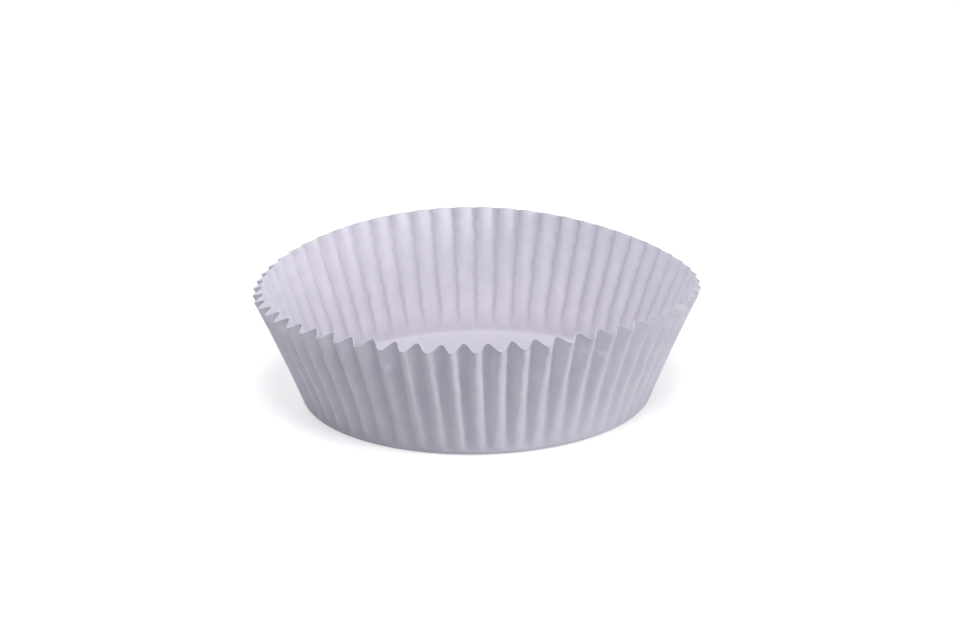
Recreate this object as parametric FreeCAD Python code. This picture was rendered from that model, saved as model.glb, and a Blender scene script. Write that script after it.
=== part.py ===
import FreeCAD, Part
import math
import os

Vector = FreeCAD.Vector

# Driving sizes of the liner, in millimetres, and its number of flutes
drivingSizes = [
    ("baseDiameter", 50.8, "across the floor, where the wall's line meets the table"),
    ("rimDiameter", 65.0, "across the rim, over the outer ridges"),
    ("wallHeight", 17.5, "from the table to the tips of the outer ridges"),
    ("fluteCount", 60, "flutes round the wall"),
    ("fluteDepth", 1.5, "from an outer ridge in to the ridge inside, at the rim"),
    ("rimRise", 0.75, "how far an inner ridge's tip stands above an outer one's"),
    ("bendRadius", 0.9, "inside radius of the bend between floor and wall"),
    ("paperThickness", 0.08, "greaseproof paper"),
]

# A flute is seven flat strips that fan out from the bend. Their slopes are shares of the steepest
# one, the flank at the rim. A strip takes up the stretch of a sine wave that its slope suits best.
stripSlopes = (-1.0, -2 / 3, -1 / 3, 0.0, 1 / 3, 2 / 3, 1.0)
slopeBreaks = (5 / 6, 1 / 2, 1 / 6)

# Heights up the wall where the strips change width, as shares of the wall, and steps of the bend
wallLevels = (0.0, 0.06, 0.3, 1.0)
bendSteps = 4


def makeSizeSheet(document):
    sheet = document.addObject("Spreadsheet::Sheet", "Sizes")
    for row, (alias, value, meaning) in enumerate(drivingSizes, start=1):
        sheet.set(f"A{row}", alias)
        sheet.set(f"B{row}", str(value))
        sheet.set(f"C{row}", meaning)
        sheet.setAlias(f"B{row}", alias)
    document.recompute()
    return sheet


class LinerSizes:
    """The sheet's values, and the sizes that follow from them."""

    def __init__(self, sheet):
        self.baseRadius = sheet.get("baseDiameter") / 2
        self.rimRadius = sheet.get("rimDiameter") / 2
        self.height = sheet.get("wallHeight")
        self.count = int(sheet.get("fluteCount"))
        self.depth = sheet.get("fluteDepth")
        self.paper = sheet.get("paperThickness")
        self.innerBend = sheet.get("bendRadius")
        self.outerBend = self.innerBend + self.paper

        # Half of the angle that one flute takes of the circle
        self.halfFlute = math.pi / self.count
        # Lean of the wall from upright, and where the bend meets floor and wall
        self.lean = math.atan2(self.rimRadius - self.baseRadius, self.height)
        self.bendAngle = math.pi / 2 - self.lean
        self.floorRadius = self.baseRadius - self.outerBend * math.tan(self.bendAngle / 2)
        self.wallFootRadius = self.floorRadius + self.outerBend * math.sin(self.bendAngle)
        self.wallFootHeight = self.outerBend * (1 - math.cos(self.bendAngle))
        # Flute sections lie in planes that rise towards the axis
        self.sectionRise = sheet.get("rimRise") / self.depth
        # Slope of a flute's flank at the rim, against the chord from ridge to ridge
        self.steepest = math.pi * self.depth / self.chord(self.rimRadius)

    def chord(self, ridgeRadius):
        return 2 * ridgeRadius * math.sin(self.halfFlute)


def stripLines(sizes, ridgeRadius, depth):
    """The strips in use at one level: number, slope, and where each starts along the chord."""
    chord = sizes.chord(ridgeRadius)
    flank = math.pi * depth / chord
    edges = [-chord / 2]
    for share in slopeBreaks:
        # The wave's slope falls from the ridge, so a level too shallow for a strip gives it no width
        needed = share * sizes.steepest
        turn = math.acos(needed / flank) if needed < flank else 0.0
        edges.append(chord * (turn / math.pi - 0.5))
    edges += [-edge for edge in reversed(edges)]
    lines = []
    for number, share in enumerate(stripSlopes):
        if edges[number + 1] - edges[number] > 1e-9:
            lines.append((number, share * sizes.steepest, edges[number], edges[number + 1]))
    return lines


def outerSection(sizes, ridgeRadius, depth):
    """Corners of the flute's outside face at one level, as (inward depth, place along the chord)."""
    corners = [(0.0, -sizes.chord(ridgeRadius) / 2)] * (len(stripSlopes) + 1)
    inward = 0.0
    for number, slope, start, end in stripLines(sizes, ridgeRadius, depth):
        inward -= slope * (end - start)
        for later in range(number + 1, len(corners)):
            corners[later] = (inward, end)
    return corners


def innerSection(sizes, ridgeRadius, depth):
    """The same corners on the inside face, one paper thickness further in."""
    chordPlace = ridgeRadius * math.cos(sizes.halfFlute)
    thickness = sizes.paper / math.cos(sizes.lean)
    outer = outerSection(sizes, ridgeRadius, depth)
    strips = stripLines(sizes, ridgeRadius, depth)

    def shifted(strip):
        number, slope, start, end = strip
        inward, along = outer[number]
        return -slope, inward + thickness * math.hypot(1, slope) + slope * along

    # Each line is inward = rise * along + offset, and a ridge lies on the plane between two flutes
    spread = math.tan(sizes.halfFlute)
    rise, offset = shifted(strips[0])
    ridgeAlong = -spread * (chordPlace - offset) / (1 - spread * rise)
    corners = [(rise * ridgeAlong + offset, ridgeAlong)] * (len(stripSlopes) + 1)
    for before, after in zip(strips, strips[1:]):
        riseBefore, offsetBefore = shifted(before)
        riseAfter, offsetAfter = shifted(after)
        along = (offsetAfter - offsetBefore) / (riseBefore - riseAfter)
        for later in range(after[0], len(corners)):
            corners[later] = (riseAfter * along + offsetAfter, along)
    for later in range(strips[-1][0] + 1, len(corners)):
        corners[later] = (corners[0][0], -ridgeAlong)
    return corners


def placeSection(sizes, corners, ridgeRadius, height):
    """Points of a section in space, on the flute that points along +X."""
    chordPlace = ridgeRadius * math.cos(sizes.halfFlute)
    return [
        Vector(chordPlace - inward, along, height + sizes.sectionRise * inward)
        for inward, along in corners
    ]


def wallSections(sizes):
    """Outside and inside sections from the bend up to the rim."""
    outside, inside = [], []
    for share in wallLevels:
        ridgeRadius = sizes.wallFootRadius + share * (sizes.rimRadius - sizes.wallFootRadius)
        height = sizes.wallFootHeight + share * (sizes.height - sizes.wallFootHeight)
        # The surplus of paper grows with the way from the bend, and depth with its square root
        depth = sizes.depth * math.sqrt(share) * ridgeRadius / sizes.rimRadius
        outer = outerSection(sizes, ridgeRadius, depth)
        inner = innerSection(sizes, ridgeRadius, depth)
        outside.append(placeSection(sizes, outer, ridgeRadius, height))
        inside.append(placeSection(sizes, inner, ridgeRadius, height))
    return outside, inside


def bendRows(sizes, radius):
    """Straight rows across one flute, from the floor round the bend and short of the wall."""
    rows = []
    for step in range(bendSteps):
        angle = sizes.bendAngle * step / bendSteps
        out = sizes.floorRadius + radius * math.sin(angle)
        up = sizes.outerBend - radius * math.cos(angle)
        near = out * math.cos(sizes.halfFlute)
        side = out * math.sin(sizes.halfFlute)
        rows.append([Vector(near, -side, up), Vector(near, side, up)])
    return rows


def flatFace(points):
    """A flat face through the points, without repeated ones, or None if too few are left."""
    corners = []
    for point in points:
        if all((point - known).Length > 1e-7 for known in corners):
            corners.append(point)
    if len(corners) < 3:
        return None
    return Part.Face(Part.makePolygon(corners + corners[:1]))


def skinFaces(rows):
    faces = []
    for below, above in zip(rows, rows[1:]):
        for first in range(len(below) - 1):
            points = [below[first], below[first + 1], above[first + 1], above[first]]
            face = flatFace(points)
            if face:
                faces.append(face)
    return faces


def fluteFaces(sizes):
    """All faces of one flute with its share of the bend."""
    outside, inside = wallSections(sizes)
    faces = skinFaces(outside) + skinFaces(inside)
    for radius, wall in ((sizes.outerBend, outside), (sizes.innerBend, inside)):
        foot = [wall[0][0], wall[0][-1]]
        faces += skinFaces(bendRows(sizes, radius) + [foot])
    faces.append(flatFace(outside[-1] + inside[-1][::-1]))
    return faces


def floorFace(sizes, height):
    corners = []
    for ridge in range(sizes.count):
        angle = 2 * ridge * sizes.halfFlute
        x = sizes.floorRadius * math.cos(angle)
        y = sizes.floorRadius * math.sin(angle)
        corners.append(Vector(x, y, height))
    return flatFace(corners)


def linerShape(sizes):
    """One closed solid: floor, bend and all the flutes."""
    flute = fluteFaces(sizes)
    faces = [floorFace(sizes, 0.0), floorFace(sizes, sizes.paper)]
    for number in range(sizes.count):
        # Half a flute on, so that an outer ridge lies on +X
        turn = math.degrees((2 * number + 1) * sizes.halfFlute)
        for face in flute:
            faces.append(face.rotated(Vector(), Vector(0, 0, 1), turn))
    skin = Part.makeCompound(faces)
    skin.sewShape(1e-5)
    solid = Part.makeSolid(skin.Shells[0])
    if solid.Volume < 0:
        solid.reverse()
    return solid


def checkDocument(document):
    for item in document.Objects:
        if "Invalid" in item.State or "Error" in item.State:
            raise RuntimeError(f"{item.Label} failed: {item.State}")


document = FreeCAD.newDocument("CupcakeLiner")
sheet = makeSizeSheet(document)
sizes = LinerSizes(sheet)

liner = document.addObject("Part::Feature", "Liner")
liner.Label = "liner"
liner.Shape = linerShape(sizes)
liner.Placement = FreeCAD.Placement(Vector(0, 0, 0), FreeCAD.Rotation())

document.recompute()
checkDocument(document)
if liner.Shape.isNull() or not liner.Shape.isValid() or len(liner.Shape.Solids) != 1:
    raise RuntimeError("the liner is not one valid solid")

os.makedirs("parts", exist_ok=True)
liner.Shape.exportStep(f"parts/{liner.Label}.step")
box = liner.Shape.BoundBox
print(f"{liner.Label}: {len(liner.Shape.Faces)} faces, volume {liner.Shape.Volume:.1f} mm3")
print(f"size {box.XLength:.2f} x {box.YLength:.2f} x {box.ZLength:.2f} mm")
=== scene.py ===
import bpy
import math
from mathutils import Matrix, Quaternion, Vector


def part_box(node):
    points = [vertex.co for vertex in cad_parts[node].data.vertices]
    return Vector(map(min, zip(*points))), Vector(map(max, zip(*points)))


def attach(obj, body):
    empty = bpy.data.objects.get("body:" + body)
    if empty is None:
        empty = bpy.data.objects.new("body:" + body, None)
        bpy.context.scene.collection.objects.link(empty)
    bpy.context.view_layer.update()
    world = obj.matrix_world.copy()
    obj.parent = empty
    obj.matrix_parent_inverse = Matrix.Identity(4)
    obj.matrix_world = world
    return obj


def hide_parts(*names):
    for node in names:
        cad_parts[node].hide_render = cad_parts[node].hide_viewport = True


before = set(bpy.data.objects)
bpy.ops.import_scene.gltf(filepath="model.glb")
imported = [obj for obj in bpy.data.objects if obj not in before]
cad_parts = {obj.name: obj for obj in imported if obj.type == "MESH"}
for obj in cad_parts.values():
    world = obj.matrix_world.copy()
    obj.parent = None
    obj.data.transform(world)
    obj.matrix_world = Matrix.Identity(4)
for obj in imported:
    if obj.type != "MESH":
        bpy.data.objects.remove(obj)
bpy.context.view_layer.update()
lowCorner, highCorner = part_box("liner")
print("liner box in mm:", [round(1000 * (high - low), 2) for low, high in zip(lowCorner, highCorner)])


def linearColour(hexCode):
    # The curve that sRGB itself is written with
    channels = [int(hexCode[place:place + 2], 16) / 255 for place in (1, 3, 5)]
    return [c / 12.92 if c <= 0.04045 else ((c + 0.055) / 1.055) ** 2.4 for c in channels] + [1.0]


def addNode(tree, kind, inputs=None, **settings):
    node = tree.nodes.new(kind)
    for name, value in settings.items():
        setattr(node, name, value)
    for place, value in (inputs or {}).items():
        if isinstance(value, bpy.types.NodeSocket):
            tree.links.new(value, node.inputs[place])
        else:
            node.inputs[place].default_value = value
    return node


# Greaseproof paper, beaten long and calendered hard: smooth, close to matt, with a faint cloudy
# formation, hair-fine fibres lying every way, and a soft sheen where light grazes the pleats.
# Sizes are in metres and turns in degrees
paperLook = {
    "paleTone": "#E3DFEA",
    "greyTone": "#DAD6E3",
    "paintedShadeTone": "#C3BFCC",        # painted shade: the darker tone mixed into the folds and the floor
    "cloudSize": 0.0030,
    "fibreLength": 0.0012,
    "fibreWidth": 0.00022,        # real fibres are 0.03 mm wide, drawn coarser to show
    "fibreLean": 40,
    "fibreTurns": (25, -50),      # two sets of fibres, laid across each other
    "fibreContrast": 0.35,        # how much the fibres add to the tone of the clouds
    "fibreOffset": -0.20,         # and what takes their mean away again
    "toneRange": (0.30, 0.75),    # sums of cloud and fibre that give the grey and the pale tone
    "fibreHeight": 0.000010,
    "cockleSize": 0.0040,         # soft unevenness left from drying
    "cockleHeight": 0.00009,
    "roughness": 0.62,
    "ior": 1.47,                  # cellulose
    "sheen": 0.12,
    "sheenRoughness": 0.5,
}


def greaseproofPaper(look):
    material = bpy.data.materials.new("calenderedGreaseproofPaper")
    material.use_nodes = True
    tree = material.node_tree
    tree.nodes.clear()
    place = addNode(tree, "ShaderNodeTexCoord").outputs["Object"]

    clouds = addNode(tree, "ShaderNodeTexNoise",
                     {"Vector": place, "Scale": 1 / look["cloudSize"], "Detail": 4.0, "Roughness": 0.6})
    cockles = addNode(tree, "ShaderNodeTexNoise",
                      {"Vector": place, "Scale": 1 / look["cockleSize"], "Detail": 2.0, "Roughness": 0.4})
    flecks = []
    for turn in look["fibreTurns"]:
        turns = tuple(math.radians(degrees) for degrees in (look["fibreLean"], turn, turn))
        scales = tuple(1 / look[side] for side in ("fibreLength", "fibreWidth", "fibreWidth"))
        laid = addNode(tree, "ShaderNodeMapping", {"Vector": place, "Rotation": turns, "Scale": scales})
        fleck = addNode(tree, "ShaderNodeTexNoise",
                        {"Vector": laid.outputs[0], "Scale": 1.0, "Detail": 2.0, "Roughness": 0.5})
        flecks.append(fleck.outputs["Fac"])
    fibres = addNode(tree, "ShaderNodeMath", {0: flecks[0], 1: flecks[1]}, operation="MAXIMUM").outputs[0]

    fibreTone = addNode(tree, "ShaderNodeMath",
                        {0: fibres, 1: look["fibreContrast"], 2: look["fibreOffset"]},
                        operation="MULTIPLY_ADD")
    tone = addNode(tree, "ShaderNodeMath", {0: clouds.outputs["Fac"], 1: fibreTone.outputs[0]},
                   operation="ADD")
    lowTone, highTone = look["toneRange"]
    paleShare = addNode(tree, "ShaderNodeMapRange",
                        {"Value": tone.outputs[0], "From Min": lowTone, "From Max": highTone,
                         "To Min": 0.0, "To Max": 1.0})
    flatColour = addNode(tree, "ShaderNodeMix",
                         {0: paleShare.outputs[0], 6: linearColour(look["greyTone"]),
                          7: linearColour(look["paleTone"])}, data_type="RGBA")
    # Painted shade: a stored share per point mixes the colour toward the darker tone in grooves, creases
    # and on the floor
    fold = addNode(tree, "ShaderNodeAttribute", attribute_name="paintedFoldShade")
    colour = addNode(tree, "ShaderNodeMix",
                     {0: fold.outputs["Fac"], 6: flatColour.outputs[2],
                      7: linearColour(look["paintedShadeTone"])}, data_type="RGBA")

    cockleBump = addNode(tree, "ShaderNodeBump",
                         {"Height": cockles.outputs["Fac"], "Distance": look["cockleHeight"],
                          "Strength": 1.0})
    fibreBump = addNode(tree, "ShaderNodeBump",
                        {"Height": fibres, "Distance": look["fibreHeight"], "Strength": 1.0,
                         "Normal": cockleBump.outputs[0]})
    shader = addNode(tree, "ShaderNodeBsdfPrincipled",
                     {"Base Color": colour.outputs[2], "Roughness": look["roughness"],
                      "IOR": look["ior"], "Sheen Weight": look["sheen"],
                      "Sheen Roughness": look["sheenRoughness"], "Normal": fibreBump.outputs[0]})
    addNode(tree, "ShaderNodeOutputMaterial", {"Surface": shader.outputs[0]})
    return material


paper = greaseproofPaper(paperLook)
print("paper material made")

# The cup's sizes in metres. Outer ridges reach the rim radius, and a flute's groove goes in from them
cupSizes = {
    "Flutes": 60,
    "Columns Per Flute": 14,
    "Floor Rows": 5,
    "Bend Rows": 6,
    "Wall Rows": 40,
    "Column Shift": -0.35,   # below 0 the mesh's columns crowd together at the outer ridges
    "Base Radius": 0.0254,
    "Rim Radius": highCorner.x,
    "Height": 0.0172,
    "Bend Radius": 0.0010,
    "Paper": 0.00008,
    "Flare": 0.00018,        # how far the wall bows in halfway up
    "Floor Bulge": 0.00015,
    "Flute Depth": 0.00128,
    "Rim Rise": 0.00060,     # how far an inner ridge's tip stands above an outer one's
    "Flute Start": 0.02,     # share of the wall over which the flutes rise out of the bend
    "Ridge Round": 1.20,     # 0 gives a knife-sharp outer ridge, and a large value an even wave
    "Broad Base": -0.20,     # below 0 the outer ridges are broader than the inner ones
    "Broad Swing": 0.50,     # how much breadth the inner ridges gain at the back and lose in front
    "Rim Broad": 0.55,       # inner ridges broader and blunter at the cut edge
    "Rim Power": 4.0,        # a higher power keeps that closer to the edge
    "Depth Spread": 0.10,    # random share of a flute's depth
    "Depth Swing": 0.32,     # the flutes at the front left are pinched deeper than those behind
    "Swing Turn": math.radians(253),
    "Side Smooth": 0.42,     # share by which the flutes are shallower at the right
    "Side Power": 6.0,       # a higher power makes that side narrower
    "Skew Spread": 0.08,     # random lean of a flute to one side
    "Rim Sag": 0.00075,      # front and back stand higher than the sides
    "Sag Turn": math.radians(100),
    "Rim Twist": 0.00030,    # three soft waves in the rim's height
    "Lobes": 0.00025,        # and three in its radius
    "Lobe Turn": math.radians(-13),
    "Pitch Drift": 0.00022,  # slow wander of the ridges to the side
    "Drift Scale": 4.0,
    "Kink": 0.00055,         # and quick kinks in them
    "Kink Height": 0.0010,
    "Kink Width": 0.0036,
    "Kink Hold": 0.8,        # share of a kink that the inner ridges resist
    "Dent": 0.00009,
    "Dent Size": 0.0050,
    "Edge Nick": 0.00010,    # unevenness of the cut edge
    "Nick Scale": 60.0,
    "Nick Power": 12.0,
    "Groove Shade": 0.30,    # how much painted shade the grooves outside get, toward the darker tone
    "Groove Power": 2.4,     # a higher power makes the grey narrower
    "Crease Shade": 1.00,    # the same painted shade for the pinched lines inside
    "Crease Power": 6.0,
    "Crease Rise": 0.20,     # share of the wall over which those lines come in
    "Side Fade": 0.65,       # share by which they fade at both sides
    "Fade Power": 3.0,
    "Floor Shade": 0.55,     # painted shade over the floor inside the cup, fading out low on the wall
    "Seed": 7,
}

# Each row is a new value: its name, the operation and what it works on
countFormula = [
    ("floorAndBend", "ADD", "Floor Rows", "Bend Rows"),
    ("allRows", "ADD", "floorAndBend", "Wall Rows"),
    ("rowPoints", "ADD", "allRows", 1.0),
    ("columns", "MULTIPLY", "Flutes", "Columns Per Flute"),
]

placeFormula = [
    # sizes that follow from the inputs
    ("spreadOut", "SUBTRACT", "Rim Radius", "Base Radius"),
    ("lean", "ARCTAN2", "spreadOut", "Height"),
    ("bendAngle", "SUBTRACT", math.pi / 2, "lean"),
    ("halfBend", "MULTIPLY", "bendAngle", 0.5),
    ("halfTangent", "TANGENT", "halfBend"),
    ("bendReach", "MULTIPLY", "Bend Radius", "halfTangent"),
    ("floorRadius", "SUBTRACT", "Base Radius", "bendReach"),
    ("bendSine", "SINE", "bendAngle"),
    ("footRadius", "MULTIPLY_ADD", "Bend Radius", "bendSine", "floorRadius"),
    ("bendCosine", "COSINE", "bendAngle"),
    ("bendShort", "MULTIPLY", "Bend Radius", "bendCosine"),
    ("footHeight", "SUBTRACT", "Bend Radius", "bendShort"),
    # shares of the way through floor, bend and wall
    ("floorShare", "DIVIDE", "row", "Floor Rows", "clamp"),
    ("pastFloor", "SUBTRACT", "row", "Floor Rows"),
    ("bendShare", "DIVIDE", "pastFloor", "Bend Rows", "clamp"),
    ("pastBend", "SUBTRACT", "pastFloor", "Bend Rows"),
    ("wallShare", "DIVIDE", "pastBend", "Wall Rows", "clamp"),
    # the profile, from the floor's middle round the bend and up the wall
    ("bendHere", "MULTIPLY", "bendShare", "bendAngle"),
    ("sineHere", "SINE", "bendHere"),
    ("cosineHere", "COSINE", "bendHere"),
    ("floorOut", "MULTIPLY", "floorShare", "floorRadius"),
    ("bendOut", "MULTIPLY_ADD", "Bend Radius", "sineHere", "floorOut"),
    ("wallReach", "SUBTRACT", "Rim Radius", "footRadius"),
    ("plainRadius", "MULTIPLY_ADD", "wallShare", "wallReach", "bendOut"),
    ("bendUp", "MULTIPLY", "Bend Radius", "cosineHere"),
    ("bendHeight", "SUBTRACT", "Bend Radius", "bendUp"),
    ("wallRise", "SUBTRACT", "Height", "footHeight"),
    ("plainHeight", "MULTIPLY_ADD", "wallShare", "wallRise", "bendHeight"),
    ("shareLeft", "SUBTRACT", 1.0, "wallShare"),
    ("flareQuarter", "MULTIPLY", "wallShare", "shareLeft"),
    ("flareShape", "MULTIPLY", "flareQuarter", 4.0),  # 1 halfway up, 0 at both ends
    ("flareIn", "MULTIPLY", "flareShape", "Flare"),
    ("profileRadius", "SUBTRACT", "plainRadius", "flareIn"),
    ("floorSquare", "MULTIPLY", "floorShare", "floorShare"),
    ("bulgeLeft", "SUBTRACT", 1.0, "floorSquare"),
    ("bulgeShape", "MULTIPLY", "bulgeLeft", "bulgeLeft"),
    ("profileHeight", "MULTIPLY_ADD", "bulgeShape", "Floor Bulge", "plainHeight"),
    # the place round the cup
    ("turnShare", "DIVIDE", "column", "columns"),
    ("evenTurn", "MULTIPLY", "turnShare", math.tau),
    ("fluteTurn", "MULTIPLY", "evenTurn", "Flutes"),
    ("fluteSine", "SINE", "fluteTurn"),
    ("crowding", "DIVIDE", "Column Shift", "Flutes"),
    ("turn", "MULTIPLY_ADD", "fluteSine", "crowding", "evenTurn"),
    ("turnCosine", "COSINE", "turn"),
    ("turnSine", "SINE", "turn"),
    ("evenX", "MULTIPLY", "profileRadius", "turnCosine"),
    ("evenY", "MULTIPLY", "profileRadius", "turnSine"),
    # which flute, nudged so that rounding never splits a column, and where on it from 0 to pi
    ("fluteReal", "MULTIPLY", "turnShare", "Flutes"),
    ("fluteNudged", "ADD", "fluteReal", 0.0001),
    ("fluteNumber", "FLOOR", "fluteNudged"),
    ("fluteSeed", "ADD", "fluteNumber", "Seed"),
    ("halfTurn", "MULTIPLY", "turn", 0.5),
    ("fluteAngle", "MULTIPLY", "halfTurn", "Flutes"),
    # noise scales, from the sizes of what they make
    ("kinkAcross", "DIVIDE", 1.0, "Kink Width"),
    ("kinkUpward", "DIVIDE", 1.0, "Kink Height"),
    ("dentScale", "DIVIDE", 1.0, "Dent Size"),
]

pleatFormula = [
    # the flute: nothing at an outer ridge, one at the inner ridge between
    ("waveSine", "SINE", "fluteAngle"),
    ("waveSquare", "MULTIPLY", "waveSine", "waveSine"),
    ("roundSquare", "MULTIPLY", "Ridge Round", "Ridge Round"),
    ("waveSum", "ADD", "waveSquare", "roundSquare"),
    ("waveRoot", "SQRT", "waveSum"),
    ("waveLow", "SUBTRACT", "waveRoot", "Ridge Round"),
    ("fullSum", "ADD", 1.0, "roundSquare"),
    ("fullRoot", "SQRT", "fullSum"),
    ("fullLow", "SUBTRACT", "fullRoot", "Ridge Round"),
    ("waveEven", "DIVIDE", "waveLow", "fullLow"),
    ("waveLeft", "SUBTRACT", 1.0, "waveEven"),
    ("waveBroad", "MULTIPLY", "waveLeft", "waveEven"),
    ("rimShare", "POWER", "wallShare", "Rim Power"),
    ("broadRound", "MULTIPLY_ADD", "turnSine", "Broad Swing", "Broad Base"),
    ("broadHere", "MULTIPLY_ADD", "rimShare", "Rim Broad", "broadRound"),
    ("wave", "MULTIPLY_ADD", "waveBroad", "broadHere", "waveEven"),
    # depth grows with the root of the way up, as the surplus of paper does
    ("shareRoot", "SQRT", "wallShare"),
    ("startWay", "DIVIDE", "wallShare", "Flute Start", "clamp"),
    ("startTurn", "MULTIPLY", "startWay", math.pi),
    ("startCosine", "COSINE", "startTurn"),
    ("startEase", "MULTIPLY_ADD", "startCosine", -0.5, 0.5),  # from 0 to 1 in a soft S
    ("radiusShare", "DIVIDE", "profileRadius", "Rim Radius"),
    ("depthGrown", "MULTIPLY", "shareRoot", "radiusShare"),
    ("depthEased", "MULTIPLY", "depthGrown", "startEase"),
    ("depthChange", "MULTIPLY_ADD", "depthDraw", "Depth Spread", 1.0),
    ("swingTurn", "SUBTRACT", "turn", "Swing Turn"),
    ("swingCosine", "COSINE", "swingTurn"),
    ("depthSwung", "MULTIPLY_ADD", "swingCosine", "Depth Swing", "depthChange"),
    ("sideFacing", "MAXIMUM", "turnCosine", 0.0),
    ("sideShape", "POWER", "sideFacing", "Side Power"),
    ("sideFull", "MULTIPLY", "sideShape", "Side Smooth"),
    ("depthShare", "SUBTRACT", "depthSwung", "sideFull"),
    ("depthFull", "MULTIPLY", "Flute Depth", "depthShare"),
    ("depth", "MULTIPLY", "depthFull", "depthEased"),
    ("inward", "MULTIPLY", "depth", "wave"),
    # sideways moves of the ridges
    ("driftMove", "MULTIPLY", "driftNoise", "Pitch Drift"),
    ("driftHere", "MULTIPLY", "driftMove", "shareRoot"),
    ("kinkHeld", "MULTIPLY", "wave", "Kink Hold"),
    ("kinkLoose", "SUBTRACT", 1.0, "kinkHeld"),
    ("kinkFull", "MULTIPLY", "kinkNoise", "Kink"),
    ("kinkMove", "MULTIPLY", "kinkFull", "kinkLoose"),
    ("kinkHere", "MULTIPLY_ADD", "kinkMove", "startEase", "driftHere"),
    ("skew", "MULTIPLY", "skewDraw", "Skew Spread"),
    ("skewMove", "MULTIPLY", "skew", "inward"),
    ("sideMove", "ADD", "kinkHere", "skewMove"),
    ("sideTurn", "DIVIDE", "sideMove", "Rim Radius"),
    ("finalTurn", "ADD", "turn", "sideTurn"),
    # the rim's height: sag of the sides, three soft waves, ridge tips and a cut that is not quite even
    ("sagTurn", "SUBTRACT", "turn", "Sag Turn"),
    ("sagDouble", "MULTIPLY", "sagTurn", 2.0),
    ("sagCosine", "COSINE", "sagDouble"),
    ("sagFull", "MULTIPLY", "sagCosine", "Rim Sag"),
    ("twistTurn", "MULTIPLY", "turn", 3.0),
    ("twistSine", "SINE", "twistTurn"),
    ("twistFull", "MULTIPLY", "twistSine", "Rim Twist"),
    ("warpFull", "SUBTRACT", "sagFull", "twistFull"),
    ("warpUp", "MULTIPLY", "warpFull", "wallShare"),
    ("riseRatio", "DIVIDE", "Rim Rise", "Flute Depth"),
    ("fluteUp", "MULTIPLY", "riseRatio", "inward"),
    ("edgeShare", "POWER", "wallShare", "Nick Power"),
    ("edgeMove", "MULTIPLY", "edgeNoise", "Edge Nick"),
    ("edgeUp", "MULTIPLY", "edgeMove", "edgeShare"),
    ("warpedHeight", "ADD", "profileHeight", "warpUp"),
    ("pleatedHeight", "ADD", "warpedHeight", "fluteUp"),
    ("finalHeight", "ADD", "pleatedHeight", "edgeUp"),
    # its radius: the flutes, three soft lobes and dents
    ("lobeTurn", "SUBTRACT", "turn", "Lobe Turn"),
    ("lobeTriple", "MULTIPLY", "lobeTurn", 3.0),
    ("lobeCosine", "COSINE", "lobeTriple"),
    ("lobeFull", "MULTIPLY", "lobeCosine", "Lobes"),
    ("lobeOut", "MULTIPLY", "lobeFull", "wallShare"),
    ("dentFull", "MULTIPLY", "dentNoise", "Dent"),
    ("dentOut", "MULTIPLY", "dentFull", "depthEased"),
    ("pleatedRadius", "SUBTRACT", "profileRadius", "inward"),
    ("lobedRadius", "ADD", "pleatedRadius", "lobeOut"),
    ("finalRadius", "ADD", "lobedRadius", "dentOut"),
    ("finalCosine", "COSINE", "finalTurn"),
    ("finalSine", "SINE", "finalTurn"),
    ("finalX", "MULTIPLY", "finalRadius", "finalCosine"),
    ("finalY", "MULTIPLY", "finalRadius", "finalSine"),
    # painted shade of the folds: wide in the grooves outside, a narrow line inside along each outer
    # ridge, and an even shade over the floor that fades out low on the wall
    ("grooveLine", "POWER", "waveSquare", "Groove Power"),
    ("grooveDeep", "MULTIPLY", "grooveLine", "depthShare"),
    ("grooveTone", "MULTIPLY", "grooveDeep", "startEase"),
    ("groovePaintedShade", "MULTIPLY", "grooveTone", "Groove Shade"),
    ("creaseSquare", "SUBTRACT", 1.0, "waveSquare"),
    ("creaseLine", "POWER", "creaseSquare", "Crease Power"),
    ("creaseWay", "DIVIDE", "wallShare", "Crease Rise", "clamp"),
    ("creaseHigh", "MULTIPLY", "creaseLine", "creaseWay"),
    ("sideSquare", "MULTIPLY", "turnCosine", "turnCosine"),
    ("fadeShape", "POWER", "sideSquare", "Fade Power"),
    ("fadeFull", "MULTIPLY", "fadeShape", "Side Fade"),
    ("fadeLeft", "SUBTRACT", 1.0, "fadeFull"),
    ("creaseTone", "MULTIPLY", "creaseHigh", "fadeLeft"),
    ("creaseFull", "MULTIPLY", "creaseTone", "Crease Shade"),
    ("floorLeft", "SUBTRACT", 1.0, "creaseWay"),
    ("creaseAndFloorPaintedShade", "MULTIPLY_ADD", "floorLeft", "Floor Shade", "creaseFull"),
]

touching = 1e-7  # metres, points closer than this become one


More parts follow.
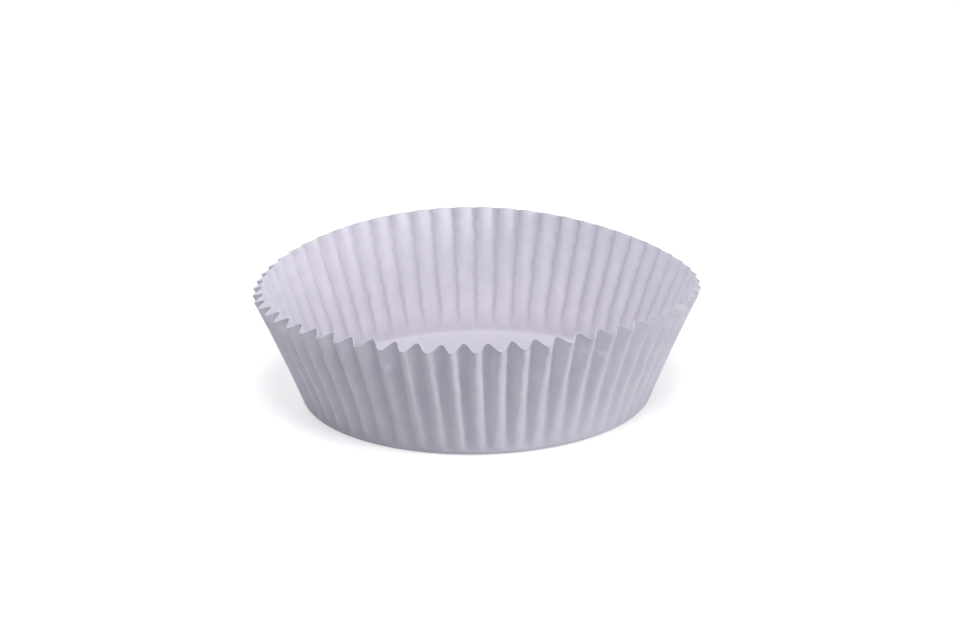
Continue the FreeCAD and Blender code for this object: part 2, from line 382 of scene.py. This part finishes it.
def cupTree():
    tree = bpy.data.node_groups.new("pressedPaperCup", "GeometryNodeTree")
    tree.interface.new_socket("Geometry", in_out="INPUT", socket_type="NodeSocketGeometry")
    tree.interface.new_socket("Geometry", in_out="OUTPUT", socket_type="NodeSocketGeometry")
    for name, value in cupSizes.items():
        kind = "NodeSocketInt" if isinstance(value, int) else "NodeSocketFloat"
        tree.interface.new_socket(name, in_out="INPUT", socket_type=kind)
    tree.interface.new_socket("Material", in_out="INPUT", socket_type="NodeSocketMaterial")
    given = tree.nodes.new("NodeGroupInput")
    values = {name: given.outputs[name] for name in cupSizes}

    def work(formula):
        for name, operation, *terms in formula:
            sources = [values.get(term, term) for term in terms if term != "clamp"]
            values[name] = addNode(tree, "ShaderNodeMath", dict(enumerate(sources)),
                                   operation=operation, use_clamp="clamp" in terms).outputs[0]

    # A line with one point a row is swept round a circle with one point a column. Their own sizes
    # don't matter, because every point is placed further down
    work(countFormula)
    line = addNode(tree, "GeometryNodeCurvePrimitiveLine", {"Start": (0, 0, 0), "End": (0, 0.02, 0)})
    line = addNode(tree, "GeometryNodeResampleCurve",
                   {"Curve": line.outputs[0], "Count": values["rowPoints"]})
    circle = addNode(tree, "GeometryNodeCurvePrimitiveCircle",
                     {"Resolution": values["columns"], "Radius": 0.03})
    number = addNode(tree, "GeometryNodeInputIndex").outputs[0]
    kept = {}
    for name, source in (("row", line), ("column", circle)):
        capture = addNode(tree, "GeometryNodeCaptureAttribute", domain="POINT")
        capture.capture_items.new("FLOAT", name)
        tree.links.new(source.outputs[0], capture.inputs[0])
        tree.links.new(number, capture.inputs[1])
        kept[name] = capture.outputs[0]
        values[name] = capture.outputs[1]
    sheet = addNode(tree, "GeometryNodeCurveToMesh",
                    {"Curve": kept["column"], "Profile Curve": kept["row"]})
    work(placeFormula)

    # Noises that stay with the paper: drift of the pitch, kinks in the ridges, dents and an uneven
    # edge. Each has its place, scale and detail, and what it adds to the seed
    evenPlace = addNode(tree, "ShaderNodeCombineXYZ",
                        {0: values["evenX"], 1: values["evenY"], 2: values["profileHeight"]}).outputs[0]
    ringPlace = addNode(tree, "ShaderNodeCombineXYZ",
                        {0: values["turnCosine"], 1: values["turnSine"], 2: 0.0}).outputs[0]
    kinkScale = addNode(tree, "ShaderNodeCombineXYZ",
                        {0: values["kinkAcross"], 1: values["kinkAcross"], 2: values["kinkUpward"]})
    kinkPlace = addNode(tree, "ShaderNodeVectorMath", {0: evenPlace, 1: kinkScale.outputs[0]},
                        operation="MULTIPLY").outputs[0]
    noises = {
        "driftNoise": (ringPlace, values["Drift Scale"], 3.0, 0.0),
        "kinkNoise": (kinkPlace, 1.0, 2.0, 1.0),
        "dentNoise": (evenPlace, values["dentScale"], 2.0, 2.0),
        "edgeNoise": (ringPlace, values["Nick Scale"], 2.0, 3.0),
    }
    for name, (where, scale, detail, apart) in noises.items():
        work([("noiseSeed", "ADD", "Seed", apart)])
        cloud = addNode(tree, "ShaderNodeTexNoise",
                        {"Vector": where, "W": values["noiseSeed"], "Scale": scale, "Detail": detail,
                         "Roughness": 0.55}, noise_dimensions="4D")
        values["cloud"] = cloud.outputs[0]
        work([(name, "MULTIPLY_ADD", "cloud", 2.0, -1.0)])  # from 0 to 1, to -1 to 1

    # One draw a flute for its depth and one for its lean
    for name, apart in (("depthDraw", 0.25), ("skewDraw", 0.75)):
        work([("drawSeed", "ADD", "fluteSeed", apart)])
        draw = addNode(tree, "ShaderNodeTexWhiteNoise", {"W": values["drawSeed"]}, noise_dimensions="1D")
        values["draw"] = draw.outputs[0]
        work([(name, "MULTIPLY_ADD", "draw", 2.0, -1.0)])
    work(pleatFormula)

    place = addNode(tree, "ShaderNodeCombineXYZ",
                    {0: values["finalX"], 1: values["finalY"], 2: values["finalHeight"]})
    shaped = addNode(tree, "GeometryNodeSetPosition",
                     {"Geometry": sheet.outputs[0], "Position": place.outputs[0]})
    outside = addNode(tree, "GeometryNodeMergeByDistance",
                      {"Geometry": shaped.outputs[0], "Distance": touching}).outputs[0]

    # The inside face is the outside one moved in by the paper's thickness, joined at the cut edge.
    # Each face takes its own painted shade of the folds
    inside = addNode(tree, "GeometryNodeExtrudeMesh",
                     {"Mesh": outside, "Offset Scale": values["Paper"], "Individual": False},
                     mode="FACES")
    capture = addNode(tree, "GeometryNodeCaptureAttribute", domain="FACE")
    capture.capture_items.new("FLOAT", "cut")
    tree.links.new(inside.outputs["Mesh"], capture.inputs[0])
    tree.links.new(inside.outputs["Side"], capture.inputs[1])
    turned = addNode(tree, "GeometryNodeFlipFaces", {"Mesh": outside}).outputs[0]
    both = addNode(tree, "GeometryNodeJoinGeometry")
    # Painted shade: the grooves' share on the outside skin, the creases' and the floor's on the inside
    # one
    for skin, grey in ((turned, "groovePaintedShade"), (capture.outputs[0], "creaseAndFloorPaintedShade")):
        toned = addNode(tree, "GeometryNodeStoreNamedAttribute",
                        {"Geometry": skin, "Name": "paintedFoldShade", "Value": values[grey]},
                        data_type="FLOAT", domain="POINT")
        tree.links.new(toned.outputs[0], both.inputs[0])
    closed = addNode(tree, "GeometryNodeMergeByDistance",
                     {"Geometry": both.outputs[0], "Distance": touching})

    # Smooth all over, but sharp where the cut face, marked 1, meets a skin, marked 0: half of each
    smooth = addNode(tree, "GeometryNodeSetShadeSmooth",
                     {"Geometry": closed.outputs[0], "Shade Smooth": True}, domain="FACE")
    nearCut = addNode(tree, "GeometryNodeFieldOnDomain", {0: capture.outputs[1]},
                      domain="EDGE", data_type="FLOAT")
    onBorder = addNode(tree, "ShaderNodeMath", {0: nearCut.outputs[0], 1: 0.5, 2: 0.2},
                       operation="COMPARE")
    sharp = addNode(tree, "GeometryNodeSetShadeSmooth",
                    {"Geometry": smooth.outputs[0], "Selection": onBorder.outputs[0],
                     "Shade Smooth": False}, domain="EDGE")
    real = addNode(tree, "GeometryNodeRealizeInstances", {"Geometry": sharp.outputs[0]})
    painted = addNode(tree, "GeometryNodeSetMaterial",
                      {"Geometry": real.outputs[0], "Material": given.outputs["Material"]})
    addNode(tree, "NodeGroupOutput", {0: painted.outputs[0]})
    return tree


def makeCup():
    holder = bpy.data.objects.new("cupHolder", bpy.data.meshes.new("cupStart"))
    bpy.context.scene.collection.objects.link(holder)
    modifier = holder.modifiers.new("pressedPaperCup", "NODES")
    modifier.node_group = cupTree()
    for socket in modifier.node_group.interface.items_tree:
        if socket.in_out == "INPUT" and socket.name in cupSizes:
            modifier[socket.identifier] = cupSizes[socket.name]
        elif socket.in_out == "INPUT" and socket.name == "Material":
            modifier[socket.identifier] = paper
    bpy.context.view_layer.update()
    solved = holder.evaluated_get(bpy.context.evaluated_depsgraph_get())
    mesh = bpy.data.meshes.new_from_object(solved)
    mesh.name = "pleatedPaperCup"
    bpy.data.objects.remove(holder)
    cup = bpy.data.objects.new("pleatedPaperCup", mesh)
    bpy.context.scene.collection.objects.link(cup)
    return cup


cup = makeCup()
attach(cup, "root")
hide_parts("liner")
print("paper cup made:", len(cup.data.polygons), "faces")

# Floor: matt white card, which scatters light evenly. The camera sees it as white, and it still takes
# the cup's soft shadow
floorLook = {
    "size": 1.0,
    "tone": "#C8C8CC",
    "lift": 0.60,  # light that the card seems to give off, for the rays that see the background
}


def backgroundRays(tree):
    # 1 for the rays that see the background as white, 0 for those that carry its light to the cup
    ray = addNode(tree, "ShaderNodeLightPath").outputs
    direct = addNode(tree, "ShaderNodeMath", {0: ray["Is Camera Ray"], 1: ray["Is Glossy Ray"]},
                     operation="MAXIMUM")
    seen = addNode(tree, "ShaderNodeMath", {0: direct.outputs[0], 1: ray["Is Transmission Ray"]},
                   operation="MAXIMUM")
    return seen.outputs[0]


def makeFloor(look):
    half = look["size"] / 2
    corners = [(-half, -half, 0), (half, -half, 0), (half, half, 0), (-half, half, 0)]
    mesh = bpy.data.meshes.new("studioFloor")
    mesh.from_pydata(corners, [], [(0, 1, 2, 3)])
    floor = bpy.data.objects.new("studioFloor", mesh)
    bpy.context.scene.collection.objects.link(floor)
    material = bpy.data.materials.new("mattWhiteCard")
    material.use_nodes = True
    tree = material.node_tree
    tree.nodes.clear()
    strength = addNode(tree, "ShaderNodeMath", {0: backgroundRays(tree), 1: look["lift"]},
                       operation="MULTIPLY")
    card = addNode(tree, "ShaderNodeBsdfDiffuse", {"Color": linearColour(look["tone"])})
    glow = addNode(tree, "ShaderNodeEmission",
                   {"Color": (1, 1, 1, 1), "Strength": strength.outputs[0]})
    both = addNode(tree, "ShaderNodeAddShader", {0: card.outputs[0], 1: glow.outputs[0]})
    addNode(tree, "ShaderNodeOutputMaterial", {"Surface": both.outputs[0]})
    mesh.materials.append(material)


makeFloor(floorLook)

# Lamps: a large soft box high in front and a weak one low in front, one low at the right, a weak one
# low at the left and one low behind. Places and sizes are in metres, powers in watts
lampPlan = [
    {"name": "topSoftBox", "place": (0.08, -0.43, 1.09), "size": 0.50, "power": 9.8},
    {"name": "frontSoftBox", "place": (-0.05, -1.00, 0.40), "size": 0.60, "power": 0.45},
    {"name": "rightSoftBox", "place": (0.95, -0.36, 0.06), "size": 0.34, "power": 4.4},
    {"name": "leftSoftBox", "place": (-0.90, 0.35, 0.14), "size": 0.40, "power": 1.0},
    {"name": "backSoftBox", "place": (-0.25, 0.95, 0.28), "size": 0.50, "power": 3.8},
]
lampAim = Vector((0, 0, 0.01))  # the middle of the cup
roomLight = 0.20                # even light from all round


def placeLamp(plan):
    light = bpy.data.lights.new(plan["name"], "AREA")
    light.shape = "DISK"
    light.size = plan["size"]
    light.energy = plan["power"]
    lamp = bpy.data.objects.new(plan["name"], light)
    lamp.location = plan["place"]
    lamp.rotation_euler = (lampAim - Vector(plan["place"])).to_track_quat("-Z", "Y").to_euler()
    bpy.context.scene.collection.objects.link(lamp)


def makeRoom():
    world = bpy.data.worlds.new("studioRoom")
    world.use_nodes = True
    tree = world.node_tree
    tree.nodes.clear()
    strength = addNode(tree, "ShaderNodeMix", {0: backgroundRays(tree), 2: roomLight, 3: 1.0})
    room = addNode(tree, "ShaderNodeBackground",
                   {"Color": (1, 1, 1, 1), "Strength": strength.outputs[0]})
    addNode(tree, "ShaderNodeOutputWorld", {"Surface": room.outputs[0]})
    bpy.context.scene.world = world


for plan in lampPlan:
    placeLamp(plan)
makeRoom()
bpy.context.scene.view_settings.view_transform = "Standard"
print("floor, lamps and room made")

# Camera, in degrees, metres and, for the sensor and the focal length, millimetres
shot = {
    "azimuth": 0.0,
    "elevation": 19.26,
    "distance": 0.4315,
    "aim": (0.0006, 0.0, 0.0110),
    "sensor": 36.0,
    "focal": 110.9,
    "roll": -0.94,     # the photo is tilted by this much
    "nearest": 0.01,   # nothing closer than this is drawn
}


def placeCamera(view):
    data = bpy.data.cameras.new("studioCamera")
    data.sensor_width = view["sensor"]
    data.lens = view["focal"]
    data.clip_start = view["nearest"]
    camera = bpy.data.objects.new("studioCamera", data)
    aim = Vector(view["aim"])
    tilt = math.radians(view["elevation"])
    swing = math.radians(view["azimuth"])
    away = Vector((math.sin(swing) * math.cos(tilt), -math.cos(swing) * math.cos(tilt), math.sin(tilt)))
    camera.location = aim + away * view["distance"]
    facing = (-away).to_track_quat("-Z", "Y") @ Quaternion((0, 0, 1), math.radians(view["roll"]))
    camera.rotation_euler = facing.to_euler()
    bpy.context.scene.collection.objects.link(camera)
    bpy.context.scene.camera = camera


placeCamera(shot)
print("camera placed")
